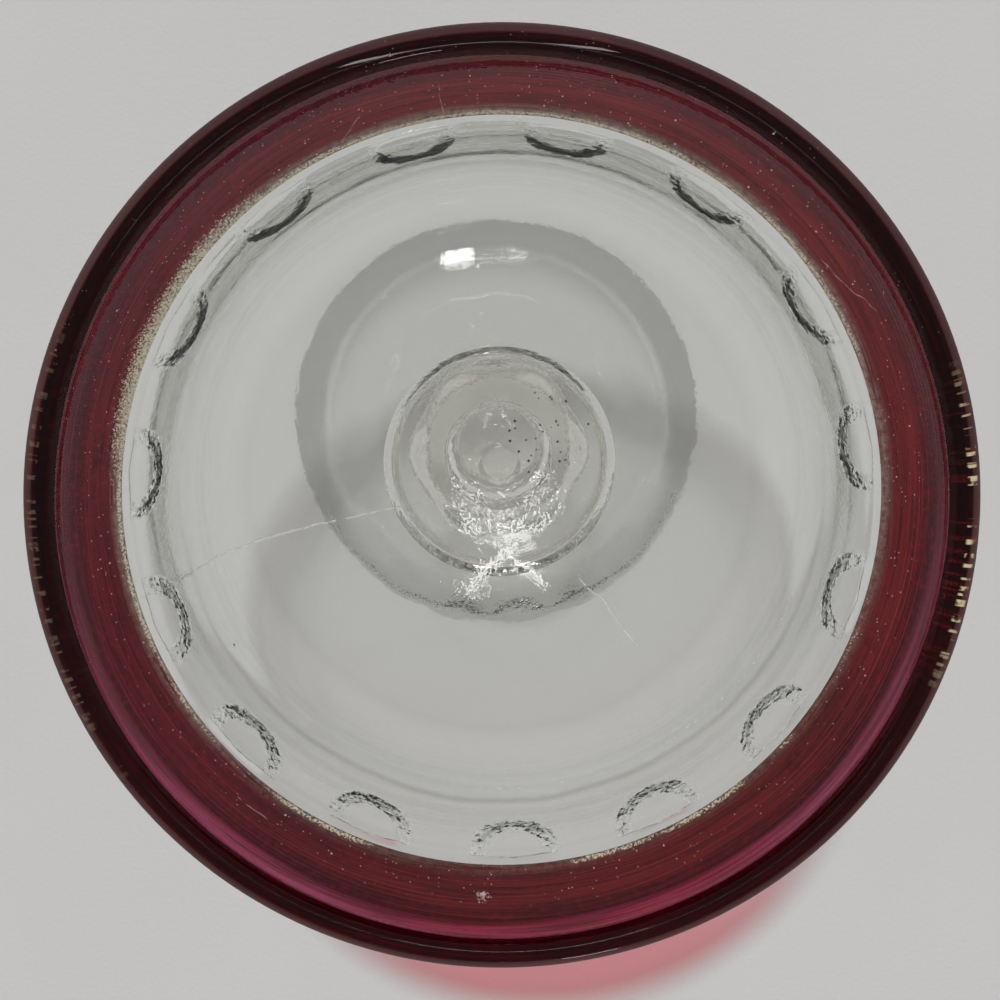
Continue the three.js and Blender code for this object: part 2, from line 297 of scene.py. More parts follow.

# Tints laid over a glass: how strong each is, and its colour. The streak, left, outer edge and ghost tints
# are painted shade, and the far lip and magenta tints are painted light.
STREAK_SHADE_TINT = (0.7, (0.72, 0.71, 0.69))
LEFT_SHADE_TINT = (0.45, (0.075, 0.005, 0.022))
FAR_LIP_LIGHT_TINT = (0.5, (0.20, 0.014, 0.024))
OUTER_EDGE_SHADE_TINT = (1.0, (0.16, 0.018, 0.020))
MAGENTA_LIGHT_TINT = (1.0, (0.44, 0.058, 0.165))
DARK_LINE_TINT = (0.7, (0.06, 0.004, 0.008))
GHOST_SHADE_TINT = (0.75, (0.04, 0.003, 0.005))
CLOUD_TINT = (0.7, (0.06, 0.005, 0.008))
LINES_TINT = (0.45, (0.40, 0.035, 0.045))
GRAIN_TINT = (0.5, (0.30, 0.012, 0.018))

# The colour of the ruby from the bottom of the band, at 0, to its top, at 1. It is partly the stain's own
# colour and partly painted shade, darkening the upper band and lip.
RUBY_STOPS = (
    (0.0, (0.10, 0.008, 0.010)),
    (0.12, (0.18, 0.012, 0.016)),
    (0.30, (0.23, 0.017, 0.021)),
    (0.37, (0.11, 0.004, 0.010)),
    (0.44, (0.07, 0.003, 0.008)),
    (0.70, (0.07, 0.004, 0.008)),
    (0.85, (0.09, 0.004, 0.007)),
    (1.0, (0.09, 0.004, 0.007)),
)
RUBY_MIRROR = (0.42, 0.38, 0.39)
RUBY_CAST = (0.88, 0.87, 0.87)
PINK_CAST = (0.95, 0.06, 0.14)
RUBY_EDGE_SHADE = (0.45, 0.4, 0.4)

# Dull coats laid over a glass: how strong each is, its colour and its roughness.
# painted highlights: glints on the rims of the prints
GLINT_COAT = (0.62, (0.84, 0.84, 0.81), 0.4)
SCRATCH_COAT = (0.45, (0.85, 0.85, 0.83), 0.5)
# painted highlights: sparkles on the inside wall
SPARKLE_COAT = (1.0, (0.95, 0.95, 0.95), 0.4)
DUST_COAT = (1.0, (0.03, 0.025, 0.02), 0.8)
FILM_COAT = (0.7, (0.50, 0.46, 0.38), 0.5)
# painted shade: a fine dark line at the band's far edge
GROOVE_SHADE_COAT = (0.6, (0.10, 0.07, 0.05), 0.5)
GILT_COAT = (1.0, (0.72, 0.68, 0.50), 0.5)
CHIP_COAT = (0.8, (0.72, 0.62, 0.58), 0.6)
CHALK_COAT = (0.75, (0.75, 0.60, 0.60), 0.7)
# painted shade at the lip's outer edge
OUTER_EDGE_SHADE_COAT = (0.5, (0.22, 0.10, 0.10), 0.5)
DASH_COAT = (1.0, (0.70, 0.62, 0.36), 0.45)
BAND_SCRATCH_COAT = (0.5, (0.7, 0.5, 0.5), 0.5)

# The floor.
FLOOR_REACH = 4.0
FLOOR_TONES = ((0.70, 0.69, 0.68), (0.74, 0.73, 0.72))
FLOOR_ROUGHNESS = 0.9
FLOOR_GRAIN = 0.15 * MM

# The light of the room, as shares of white.
WORLD_HORIZON = 0.52
WORLD_MIDDLE = 0.2
WORLD_ZENITH = 0.32
WORLD_SEEN = 1.0
WORLD_LIGHT = 0.75
SUN_STRENGTH = 1.7
SUN_ANGLE = math.radians(3)
SUN_HEIGHT = math.radians(64.5)
SUN_TURN = math.radians(7)
HORIZON_END = 0.12  # heights in the sky, from 0 at the horizon to 1 overhead
MIDDLE_PLACE = 0.32
BOUNCES = 24

# The lamps: name, place, target, width and height in metres, and power in watts.
LAMPS = (
    ("left_bar", (-0.012, 0.02, 1.2), (0, 0, 0.09), 0.016, 0.32, 0.2),
    ("right_bar", (0.012, 0.02, 1.2), (0, 0, 0.09), 0.016, 0.32, 0.2),
    ("near_square", (0.11, -0.80, 0.72), (0, 0, 0.1), 0.085, 0.12, 0.5),
    ("near_strip", (0.0, -1.25, 1.15), (0, 0, 0.15), 0.30, 0.010, 0.12),
)

OUTER, JOINT, INNER, FLASHED = 0, 1, 2, 3  # material slots of the glass pieces


# Outlines are lists of (radius, height) pairs that run round a section counter-clockwise.


def rounded(corners):
    """Turns (radius, height, fillet) corners into an outline whose corners are rounded by arcs."""
    outline = []
    for i, (r, z, *fillet) in enumerate(corners):
        if not fillet:
            outline.append((r, z))
            continue
        corner = Vector((r, z))
        before = Vector(corners[i - 1][:2]) - corner
        after = Vector(corners[i + 1][:2]) - corner
        room = min(before.length, after.length) / 2
        before.normalize()
        after.normalize()
        half = math.acos(max(-1.0, min(1.0, before.dot(after)))) / 2
        reach = min(fillet[0] / math.tan(half), room)
        radius = reach * math.tan(half)
        centre = corner + (before + after).normalized() * radius / math.sin(half)
        start = corner + before * reach - centre
        end = corner + after * reach - centre
        first = math.atan2(start.y, start.x)
        sweep = (math.atan2(end.y, end.x) - first + math.pi) % (2 * math.pi) - math.pi
        for step in range(FILLET_STEPS + 1):
            turn = first + sweep * step / FILLET_STEPS
            outline.append((centre.x + radius * math.cos(turn), centre.y + radius * math.sin(turn)))
    return outline


def bezier(a, b, c, d, steps):
    """Points along a cubic curve from a to d, pulled towards b and c."""
    points = []
    for i in range(steps + 1):
        t = i / steps
        s = 1 - t
        weights = (s ** 3, 3 * s * s * t, 3 * s * t * t, t ** 3)
        points.append(tuple(sum(w * p[k] for w, p in zip(weights, (a, b, c, d))) for k in (0, 1)))
    return points


def offset(outline, thickness_at):
    """Moves an outline sideways, to the right of its direction."""
    moved = []
    for i, (r, z) in enumerate(outline):
        last = Vector(outline[max(i - 1, 0)])
        after = Vector(outline[min(i + 1, len(outline) - 1)])
        along = (after - last).normalized()
        thickness = thickness_at(r, z)
        moved.append((r + along.y * thickness, z - along.x * thickness))
    return moved


def even_columns(count=ROUND_COLUMNS):
    return [2 * math.pi * i / count for i in range(count)]


def print_columns():
    """Angles that lie closer together in the thumbprints than between them."""
    pitch = 2 * math.pi / THUMBPRINTS
    span = PRINT_SPAN * THUMBPRINT_WIDTH / (WELL_RADIUS + WALL)
    angles = []
    for k in range(THUMBPRINTS):
        start = -math.pi / 2 + k * pitch - span / 2
        angles += [start + span * i / PRINT_COLUMNS for i in range(PRINT_COLUMNS)]
        gap = pitch - span
        angles += [start + span + gap * i / PLAIN_COLUMNS for i in range(PLAIN_COLUMNS)]
    return angles


def spin(name, outline, slots, angles, shape=None):
    """Spins an outline round the axis.

    slots gives the material slot of each stretch of the outline, and shape moves each point.
    """
    vertices, faces, face_slots, rings, reaches = [], [], [], [], {}
    for i, (r, z) in enumerate(outline):
        if r < ON_AXIS:
            rings.append([len(vertices)] * len(angles))
            vertices.append((0, 0, z))
            continue
        rings.append(list(range(len(vertices), len(vertices) + len(angles))))
        for angle in angles:
            rr, zz, reach = shape(i, r, z, angle) if shape else (r, z, PRINT_FAR)
            if reach < PRINT_FAR:
                reaches[len(vertices)] = reach
            vertices.append((rr * math.cos(angle), rr * math.sin(angle), zz))
    closed = outline[0][0] > ON_AXIS
    count = len(outline) if closed else len(outline) - 1
    for i in range(count):
        lower, upper = rings[i], rings[(i + 1) % len(rings)]
        for k in range(len(angles)):
            after = (k + 1) % len(angles)
            corners = dict.fromkeys((lower[k], lower[after], upper[after], upper[k]))
            if len(corners) > 2:
                faces.append(list(corners))
                face_slots.append(slots[i])
    mesh = bpy.data.meshes.new(name)
    mesh.from_pydata(vertices, [], faces)
    mesh.polygons.foreach_set("material_index", face_slots)
    mesh.polygons.foreach_set("use_smooth", [True] * len(faces))
    mesh.update()
    mesh.set_sharp_from_angle(angle=SHARP_ANGLE)
    if reaches:
        attribute = mesh.attributes.new("print_reach", "FLOAT", "POINT")
        attribute.data.foreach_set("value", [reaches.get(i, PRINT_FAR) for i in range(len(vertices))])
    piece = bpy.data.objects.new(name, mesh)
    bpy.context.scene.collection.objects.link(piece)
    return piece


# The bowl and its flash.


def well_outline():
    """The inside of the bowl, from the middle of its floor up to the lip."""
    side = LIP_TOP - WELL_SIDE_DEPTH
    flare = LIP_TOP - FLARE_DEPTH
    lip_radius = RIM_RADIUS - LIP_WIDTH
    lip_height = LIP_TOP - FLASH_THICKNESS - LIP_INNER_DROP
    rise = side - WELL_FLOOR
    climb = flare - side
    floor = bezier(
        (0, WELL_FLOOR),
        (WELL_RADIUS * FLOOR_PULL, WELL_FLOOR),
        (WELL_RADIUS - WELL_LEAN, side - rise * SIDE_PULL),
        (WELL_RADIUS, side),
        CURVE_STEPS,
    )
    wall = bezier(
        (WELL_RADIUS, side),
        (WELL_RADIUS + WELL_LEAN * climb * WALL_PULL / (rise * SIDE_PULL), side + climb * WALL_PULL),
        (FLARE_RADIUS - climb * FLARE_PULL, flare - climb * FLARE_PULL),
        (FLARE_RADIUS, flare),
        CURVE_STEPS,
    )
    mouth = bezier(
        (FLARE_RADIUS, flare),
        (FLARE_RADIUS + climb * MOUTH_PULL, flare + climb * MOUTH_PULL),
        (lip_radius - climb * LIP_PULL_OUT, lip_height - climb * LIP_PULL_UP),
        (lip_radius, lip_height),
        CURVE_STEPS // 2,
    )
    return floor + wall[1:] + mouth[1:]


def wall_outline(well):
    """The outside of the bowl, from the seat on the collar up to the underside of the lip."""
    side = LIP_TOP - WELL_SIDE_DEPTH

    def thickness(r, z):
        share = max(0.0, min(1.0, (side - z) / (side - WELL_FLOOR)))
        return WALL + (BOTTOM_THICKNESS - WALL) * share * share

    underside = LIP_TOP - FLASH_THICKNESS - LIP_SIDE_HEIGHT - LIP_UNDER_DROP
    seat_radius = upper_collar_high.x + SEAT_MARGIN
    return [(r, z) for r, z in offset(well, thickness) if z < underside and r > seat_radius]


def point_at(outline, height):
    """Where an outline passes a height."""
    above = next(i for i, (r, z) in enumerate(outline) if z >= height)
    (r0, z0), (r1, z1) = outline[above - 1], outline[above]
    share = (height - z0) / (z1 - z0)
    return r0 + (r1 - r0) * share, height


well = well_outline()
wall = wall_outline(well)
top = LIP_TOP - FLASH_THICKNESS
side = RIM_RADIUS - FLASH_THICKNESS
lip = rounded([
    wall[-1],
    (side, top - LIP_SIDE_HEIGHT, LIP_UNDER_ROUNDING),
    (side, top, LIP_ROUNDING),
    (well[-1][0] + LIP_INNER_ROUNDING, top, LIP_INNER_ROUNDING),
    well[-1],
])[1:]
band_edge = point_at(wall, LIP_TOP - FLASH_DEPTH)
wall_below = [p for p in wall if p[1] < band_edge[1] - EDGE_ROOM]
wall_above = [p for p in wall if p[1] > band_edge[1] + EDGE_ROOM]
covered = [band_edge] + wall_above + lip

print_top = point_at(wall, LIP_TOP - FLASH_DEPTH - FLASH_CLEARANCE)
print_bottom = point_at(wall, PRINT_BOTTOM)
print_lean = math.atan2(print_top[0] - print_bottom[0], print_top[1] - print_bottom[1])


def smooth(value):
    """Goes softly from 0 at 0 to 1 at 1."""
    value = max(0.0, min(1.0, value))
    return value * value * (3 - 2 * value)


def pressed(i, r, z, angle):
    """Presses the thumbprints in the outside of the wall, hanging from a fine bead, and the scallops.

    It also gives the reach from a print's middle, which is 1 at its edge.
    """
    if not (1 < i < 2 + len(wall_below)):
        return r, z, PRINT_FAR
    if r < SCALLOP_RADIUS + SCALLOP_SPREAD * SCALLOP_WIDTH:
        out = SCALLOP_RADIUS + SCALLOP_SWING * abs(math.sin(SCALLOPS * angle / 2))
        return r, z - SCALLOP_HEIGHT * math.exp(-(((r - out) / SCALLOP_WIDTH) ** 2)), PRINT_FAR
    if z < PRINT_BOTTOM - PRINT_MARGIN:
        return r, z, PRINT_FAR
    pitch = 2 * math.pi / THUMBPRINTS
    aside = (angle + math.pi / 2 + pitch / 2) % pitch - pitch / 2
    across = aside * r / (THUMBPRINT_WIDTH / 2)
    along = min(0.0, (z - PRINT_BOTTOM - PRINT_RISE) / PRINT_RISE)
    reach = math.hypot(across, along)
    above = smooth((z - BEAD_PLACE) / PRINT_TOP_FADE)
    below_edge = smooth((print_top[1] - z) / PRINT_TOP_FADE)
    inside = max(smooth((1 - reach) / PRINT_RIM), GROOVE_SHARE * above) * below_edge
    bead = math.exp(-(((z - BEAD_PLACE) / BEAD_WIDTH) ** 2)) * smooth((reach - BEAD_START) / BEAD_FADE)
    depth = PRINT_DEPTH * inside - BEAD_HEIGHT * bead
    return (
        r - depth * math.cos(print_lean),
        z + depth * math.sin(print_lean),
        reach + PRINT_FAR * smooth((z - BEAD_PLACE - BEAD_WIDTH) / PRINT_TOP_FADE),
    )


def make_bowl():
    seat = [(0, BOWL_SEAT), (upper_collar_high.x, BOWL_SEAT)]
    outline = seat + wall_below + covered + well[-2::-1]
    edge = len(seat) + len(wall_below)
    slots = [JOINT] + [OUTER] * (edge - 1) + [FLASHED] * (len(covered) - 1)
    slots += [INNER] * (len(outline) - len(slots))
    return spin("bowl_glass", outline, slots, print_columns(), pressed)


def make_flash():
    """The skin on the outside of the flare, which thins out to nothing much at its edge."""

    def thickness(r, z):
        share = max(FLASH_EDGE_SHARE, min(1.0, (z - band_edge[1]) / FLASH_FADE))
        return FLASH_THICKNESS * share

    skin = offset(covered, thickness)
    outline = skin + covered[::-1]
    slots = [OUTER] * len(skin) + [JOINT] * (len(covered) - 1) + [OUTER]
    return spin("flash_glass", outline, slots, even_columns())


# The foot, the collars and the stem.


def make_foot():
    """A flat rim round a step, a top that sweeps up to the neck, and the hollow below."""
    outline = rounded([
        (0, HOLLOW_DEPTH),
        (HOLLOW_DOME_RADIUS, HOLLOW_DOME_DEPTH, HOLLOW_DOME_ROUNDING),
        (HOLLOW_RADIUS, HOLLOW_EDGE_DEPTH, HOLLOW_EDGE_ROUNDING),
        (REST_RING_INNER_RADIUS, 0),
        (REST_RING_OUTER_RADIUS, 0),
        (foot_high.x, foot_high.x - REST_RING_OUTER_RADIUS, REST_RING_ROUNDING),
        (foot_high.x, FOOT_EDGE_HEIGHT, FOOT_EDGE_ROUNDING),
        (FOOT_STEP_RADIUS + FOOT_STEP_RUN, FOOT_EDGE_HEIGHT + FOOT_RIM_RISE, FOOT_RIM_ROUNDING),
        (FOOT_STEP_RADIUS, FOOT_STEP_HEIGHT, FOOT_STEP_ROUNDING),
        (FOOT_SHOULDER_RADIUS, FOOT_SHOULDER_HEIGHT, FOOT_SHOULDER_ROUNDING),
        (FOOT_NECK_RADIUS, foot_high.z),
        (0, foot_high.z),
    ])
    slots = [OUTER] * (len(outline) - 2) + [JOINT]
    return spin("foot_glass", outline, slots, even_columns(FOOT_COLUMNS))


def make_collar(name, low, high, lower_seat, upper_seat):
    """A round ring whose side slopes in above and below to the pieces that it joins."""
    height = high.z - low.z
    slope = height * COLLAR_SLOPE
    rounding = height * COLLAR_ROUNDING
    outline = rounded([
        (0, low.z),
        (lower_seat, low.z),
        (high.x, low.z + slope, rounding),
        (high.x, high.z - slope, rounding),
        (upper_seat, high.z),
        (0, high.z),
    ])
    slots = [JOINT] + [OUTER] * (len(outline) - 3) + [JOINT]
    return spin(name, outline, slots, even_columns())


def section_reach(angle):
    """How far a soft six-sided section reaches at an angle, as a share of its corner radius."""
    return 1 - STEM_FLATNESS * (1 - math.cos(STEM_SIDES * angle)) / 2


def make_stem():
    """The stem is round up to its knop, where six soft sides begin, and runs out into a round seat."""
    bottom, high = stem_low.z, stem_high.z
    knop_top = high - STEM_NECK_HEIGHT
    sides_bottom = knop_top - KNOP_HEIGHT - SIDES_START
    outline = rounded([
        (0, bottom),
        (STEM_BASE_RADIUS, bottom),
        (STEM_WAIST_RADIUS, bottom + STEM_WAIST_HEIGHT, STEM_WAIST_ROUNDING),
        (KNOP_FOOT_RADIUS, knop_top - KNOP_HEIGHT, KNOP_FOOT_ROUNDING),
        (KNOP_RADIUS, knop_top - KNOP_SIDE_DROP, KNOP_SIDE_ROUNDING),
        (KNOP_RADIUS, knop_top - KNOP_SHOULDER_DROP, KNOP_SHOULDER_ROUNDING),
        (STEM_NECK_RADIUS, knop_top, STEM_NECK_ROUNDING),
        (STEM_NECK_RADIUS, high),
        (0, high),
    ])

    def six_sided(i, r, z, angle):
        from_bottom = (z - sides_bottom) / SIDES_FADE
        from_top = (knop_top - z) / STEM_NECK_HEIGHT
        flatness = max(0.0, min(1.0, from_bottom, from_top))
        return r * (1 + flatness * (section_reach(angle) - 1)), z, PRINT_FAR

    slots = [JOINT] + [OUTER] * (len(outline) - 3) + [JOINT]
    return spin("stem_glass", outline, slots, even_columns(), six_sided)


# Materials. The scale of a noise is in cells per millimetre, or per unit of the heading where it
# follows that. Its values lie mostly between 0.3 and 0.7, so a fade between two such values picks
# patches of it.


class Graph:
    """Builds the nodes of one material. A value that is a socket is linked, another is set."""

    def __init__(self, name):
        self.material = bpy.data.materials.new(name)
        self.material.use_nodes = True
        self.tree = self.material.node_tree
        self.tree.nodes.clear()
        place = self.add("ShaderNodeTexCoord").outputs["Object"]
        self.place = self.vector("SCALE", place, scale=1 / MM)
        split = self.add("ShaderNodeSeparateXYZ", Vector=self.place)
        self.x, self.y, self.z = split.outputs
        flat = self.add("ShaderNodeCombineXYZ", X=self.x, Y=self.y).outputs[0]
        self.heading = self.vector("NORMALIZE", flat)
        self.radius = self.length(flat)

    def add(self, kind, operation=None, sockets=(), **values):
        node = self.tree.nodes.new(kind)
        if operation:
            node.operation = operation
        for key, value in [*enumerate(sockets), *values.items()]:
            if value is None:
                continue
            socket = node.inputs[key.replace("_", " ") if isinstance(key, str) else key]
            if isinstance(value, bpy.types.NodeSocket):
                self.tree.links.new(value, socket)
            else:
                socket.default_value = value
        return node

    def math(self, operation, *values):
        return self.add("ShaderNodeMath", operation, values).outputs[0]

    def lifted(self, value, gain, base):
        """A value times a gain, above a base."""
        return self.math("ADD", self.math("MULTIPLY", value, gain), base)

    def times(self, *values):
        product = values[0]
        for value in values[1:]:
            product = self.math("MULTIPLY", product, value)
        return product

    def vector(self, operation, *values, scale=None):
        node = self.add("ShaderNodeVectorMath", operation, values)
        if scale is not None:
            node.inputs["Scale"].default_value = scale
        return node.outputs["Value" if operation == "DOT_PRODUCT" else "Vector"]

    def fade(self, value, start, end):
        """Goes smoothly from 0 at start to 1 at end."""
        node = self.add("ShaderNodeMapRange", sockets=(value, start, end))
        node.interpolation_type = "SMOOTHSTEP"
        return node.outputs[0]

    def window(self, value, low, high, soft):
        """1 between low and high, 0 outside, with soft edges."""
        return self.times(
            self.fade(value, low - soft, low + soft), self.fade(value, high + soft, high - soft)
        )

    def length(self, vector):
        return self.add("ShaderNodeVectorMath", "LENGTH", (vector,)).outputs["Value"]

    def towards(self, degrees, spread):
        """1 up to a quarter of the spread from a direction round the axis, 0 beyond the spread."""
        way = math.radians(degrees)
        along = self.vector("DOT_PRODUCT", self.heading, (math.cos(way), math.sin(way), 0))
        return self.fade(along, math.cos(math.radians(spread)), math.cos(math.radians(spread / 4)))

    def noise(self, scale, place=None, detail=2.0, roughness=0.5):
        place = self.place if place is None else place
        return self.add(
            "ShaderNodeTexNoise", Vector=place, Scale=scale, Detail=detail, Roughness=roughness,
        ).outputs["Fac"]

    def streaks(self, around, across, detail=3.0):
        """Noise drawn out round the axis, fine in height and radius."""
        turned = self.vector("SCALE", self.heading, scale=around)
        height = self.math("MULTIPLY", self.math("ADD", self.z, self.radius), across)
        lift = self.add("ShaderNodeCombineXYZ", Z=height).outputs[0]
        return self.noise(1.0, self.vector("ADD", turned, lift), detail)

    def specks(self, size, share, reach):
        """Specks in a share of the cells of a size, each reaching a part of its cell."""
        cells = self.add("ShaderNodeTexVoronoi", Vector=self.place, Scale=1 / size)
        draw = self.add("ShaderNodeSeparateXYZ", Vector=cells.outputs["Color"]).outputs[0]
        chosen = self.math("LESS_THAN", draw, share)
        ragged = self.math("MULTIPLY", self.noise(SPECK_RAGGEDNESS / size, detail=2.0), 2 * reach)
        core = self.math("MULTIPLY", ragged, SPECK_CORE)
        return self.times(chosen, self.fade(cells.outputs["Distance"], ragged, core))

    def scratch(self, start, end, width):
        """A scratch that wanders a little from one place to another, seen from above."""
        flat = self.vector("MULTIPLY", self.place, (1.0, 1.0, 0.0))
        origin = Vector((*start, 0))
        way = Vector((*end, 0)) - origin
        length = way.length
        way.normalize()
        from_start = self.vector("SUBTRACT", flat, tuple(origin))
        along = self.vector("DOT_PRODUCT", from_start, tuple(way))
        aside = self.vector("DOT_PRODUCT", from_start, (-way.y, way.x, 0.0))
        wander = self.math("SUBTRACT", self.noise(0.12, detail=4.0), 0.5)
        wander = self.math("MULTIPLY", wander, SCRATCH_WANDER)
        aside = self.math("ABSOLUTE", self.math("ADD", aside, wander))
        uneven = self.fade(self.noise(0.6, detail=3.0), 0.3, 0.6)
        core = self.fade(aside, width, width * SCRATCH_CORE)
        return self.times(core, self.window(along, 0.0, length, length * SCRATCH_ENDS), uneven)

    def ramp(self, value, stops):
        node = self.add("ShaderNodeValToRGB", Fac=value)
        elements = node.color_ramp.elements
        stops = sorted(stops)
        for position, colour in stops[1:-1]:
            elements.new(position)
        for element, (position, colour) in zip(elements, stops):
            element.position = position
            element.color = (*colour, 1)
        return node.outputs[0]

    def blend(self, share, first, second):
        node = self.add("ShaderNodeMix")
        node.data_type = "RGBA"
        for key, value in (("Factor", share), ("A", first), ("B", second)):
            socket = next(s for s in node.inputs if s.name == key and s.enabled)
            if isinstance(value, bpy.types.NodeSocket):
                self.tree.links.new(value, socket)
            else:
                socket.default_value = value if key == "Factor" else (*value, 1)
        return next(s for s in node.outputs if s.enabled)

    def bump(self, height, depth, normal=None):
        node = self.add("ShaderNodeBump", Height=height, Distance=depth, Normal=normal)
        return node.outputs[0]

    def mix(self, share, first, second):
        return self.add("ShaderNodeMixShader", sockets=(share, first, second)).outputs[0]

    def dull(self, colour, roughness, normal=None):
        node = self.add("ShaderNodeBsdfPrincipled", Normal=normal, Roughness=roughness)
        if isinstance(colour, bpy.types.NodeSocket):
            self.tree.links.new(colour, node.inputs["Base Color"])
        else:
            node.inputs["Base Color"].default_value = (*colour, 1)
        return node.outputs[0]

    def for_lamps(self, surface, tint, dark, share):
        """Lets lamps and the floor's light through the glass, tinted, and darker by a share."""
        colour = self.blend(share, tint, dark)
        clear = self.add("ShaderNodeBsdfTransparent", Color=colour).outputs[0]
        path = self.add("ShaderNodeLightPath")
        for ray in ("Is Diffuse Ray", "Is Shadow Ray"):
            surface = self.mix(path.outputs[ray], surface, clear)
        return surface

    def tinted(self, colour, share, strength, tint):
        """A colour with a tint laid over a share of it."""
        return self.blend(self.math("MULTIPLY", share, strength), colour, tint)

    def coated(self, surface, share, strength, colour, roughness):
        """A surface with a dull coat laid over a share of it."""
        return self.mix(self.math("MULTIPLY", share, strength), surface, self.dull(colour, roughness))

    def finish(self, surface):
        self.add("ShaderNodeOutputMaterial", Surface=surface)
        return self.material


def joint_material(name, tint):
    """The faces where the glass is fused: light passes as if they weren't there, or a little dimmed."""
    graph = Graph(name)
    return graph.finish(graph.add("ShaderNodeBsdfTransparent", Color=(*tint, 1)).outputs[0])


def print_rim(graph, soft):
    """The reach from a print's middle, and 1 on the print's sloping rim."""
    attribute = graph.add("ShaderNodeAttribute")
    attribute.attribute_name = "print_reach"
    reach = attribute.outputs["Fac"]
    return reach, graph.window(reach, 1 - PRINT_RIM, 1.0, soft)


def pressed_face(graph, ripple, fine=FINE_SHARE):
    """The normal of pressed glass: soft waves, a fine ripple and rough rims on the prints."""
    reach, rim = print_rim(graph, 0.06)
    fleck = graph.math("SUBTRACT", graph.noise(0.7, detail=3.0, roughness=0.5), 0.5)
    wander = graph.times(graph.noise(0.35, detail=2.0), RIDGE_WANDER)
    ridges = graph.math("SINE", graph.math("ADD", graph.math("MULTIPLY", reach, RIDGES), wander))
    fleck = graph.math("ADD", fleck, graph.math("MULTIPLY", ridges, RIDGE_HEIGHT))
    near = graph.lifted(graph.towards(*NEAR_PRINTS), 1 - FAR_ROUGHNESS, FAR_ROUGHNESS)
    contour = graph.math("MULTIPLY", graph.window(reach, *CONTOUR, 0.04), CONTOUR_HEIGHT)
    fleck = graph.times(graph.math("ADD", graph.times(fleck, rim), contour), near)
    normal = graph.bump(graph.noise(0.16, detail=1.0), ripple * LARGE_WAVES)
    normal = graph.bump(graph.noise(1.3, detail=1.0), ripple * fine, normal)
    return graph.bump(fleck, FLECK_DEPTH, normal)


def rim_glints(graph, surface):
    """Painted highlights: pale glints where the rough rims of the prints catch the light."""
    rim = print_rim(graph, 0.1)[1]
    patches = graph.fade(graph.noise(0.75, detail=3.0, roughness=0.55), 0.46, 0.60)
    return graph.coated(surface, graph.times(rim, patches, graph.towards(*NEAR_PRINTS)), *GLINT_COAT)


def seen_on_edge(graph):
    return graph.add("ShaderNodeLayerWeight", Blend=EDGE_BLEND).outputs["Facing"]


def clear_material(name, ripple, tint, shade, shade_from=None, prints=False):
    """Clear pressed glass. Its shade is darker where it is seen on edge, or outside a circle."""
    graph = Graph(name)
    normal = pressed_face(graph, ripple, 0.0 if shade_from else FINE_SHARE)
    glass = graph.add("ShaderNodeBsdfGlass", IOR=GLASS_IOR, Color=(*tint, 1), Normal=normal)
    facing = seen_on_edge(graph)
    if shade_from:
        radius, aside = shade_from
        from_middle = graph.vector("SUBTRACT", graph.place, (0.0, aside, 0.0))
        reach = graph.length(graph.vector("MULTIPLY", from_middle, (1.0, 1.0, 0.0)))
        beyond = graph.fade(reach, radius - DARK_RING_FADE, radius + DARK_RING_FADE)
        facing = graph.math("MAXIMUM", facing, graph.math("MULTIPLY", beyond, DARK_RING_SHARE))
    surface = graph.for_lamps(glass.outputs[0], shade, EDGE_SHADE, facing)
    return graph.finish(rim_glints(graph, surface) if prints else surface)


def inside_material():
    """The inside of the bowl: clear glass with a dimple, a darker streak of painted shade, painted
    sparkles and the marks of use.
    """
    graph = Graph("clear_inside")
    normal = pressed_face(graph, FINE_RIPPLE)
    for start, end, width in LONG_SCRATCHES:
        normal = graph.bump(graph.scratch(start, end, width), SCRATCH_DEPTH, normal)
    middle = graph.fade(graph.radius, *MIDDLE_FADE)
    normal = graph.bump(graph.times(graph.noise(0.22, detail=3.0), middle), MIDDLE_RIPPLE, normal)
    dimple = graph.fade(graph.radius, DIMPLE_RADIUS - DIMPLE_SLOPE, DIMPLE_RADIUS)
    normal = graph.bump(dimple, DIMPLE_DEPTH, normal)
    # Painted shade: the glass is tinted darker in a wandering streak below the prints, on the near side.
    wander = graph.math("MULTIPLY", graph.noise(2.5, graph.heading, 3.0), STREAK_WANDER)
    level = graph.math("ADD", graph.z, graph.math("SUBTRACT", wander, STREAK_WANDER / 2))
    streak = graph.times(graph.window(level, *STREAK_HEIGHTS, 1.1), graph.towards(*STREAK_SIDE))
    tint = graph.tinted(CLEAR_TINT, streak, *STREAK_SHADE_TINT)
    glass = graph.add("ShaderNodeBsdfGlass", IOR=GLASS_IOR, Color=tint, Normal=normal)
    surface = graph.for_lamps(glass.outputs[0], CLEAR_SHADE, EDGE_SHADE, seen_on_edge(graph))
    for start, end, width in LONG_SCRATCHES:
        surface = graph.coated(surface, graph.scratch(start, end, width), *SCRATCH_COAT)
    # Painted highlights: white sparkles in a band of the wall, where the wavy glass would catch the light.
    sides = graph.math("MAXIMUM", *(graph.towards(*side) for side in SPARKLE_SIDES))
    sparkle = graph.times(
        graph.specks(*SPARKLE_SPECKS), sides, graph.window(graph.z, *SPARKLE_HEIGHTS, 0.4),
    )
    surface = graph.coated(surface, sparkle, *SPARKLE_COAT)
    dust = 0.0
    for spot, reach, share in DUST_PLACES:
        away = graph.length(graph.vector("SUBTRACT", graph.place, spot))
        near = graph.fade(away, reach, reach * DUST_CORE)
        dust = graph.math("MAXIMUM", dust, graph.times(graph.specks(DUST_SIZE, share, DUST_REACH), near))
    return graph.finish(graph.coated(surface, dust, *DUST_COAT))


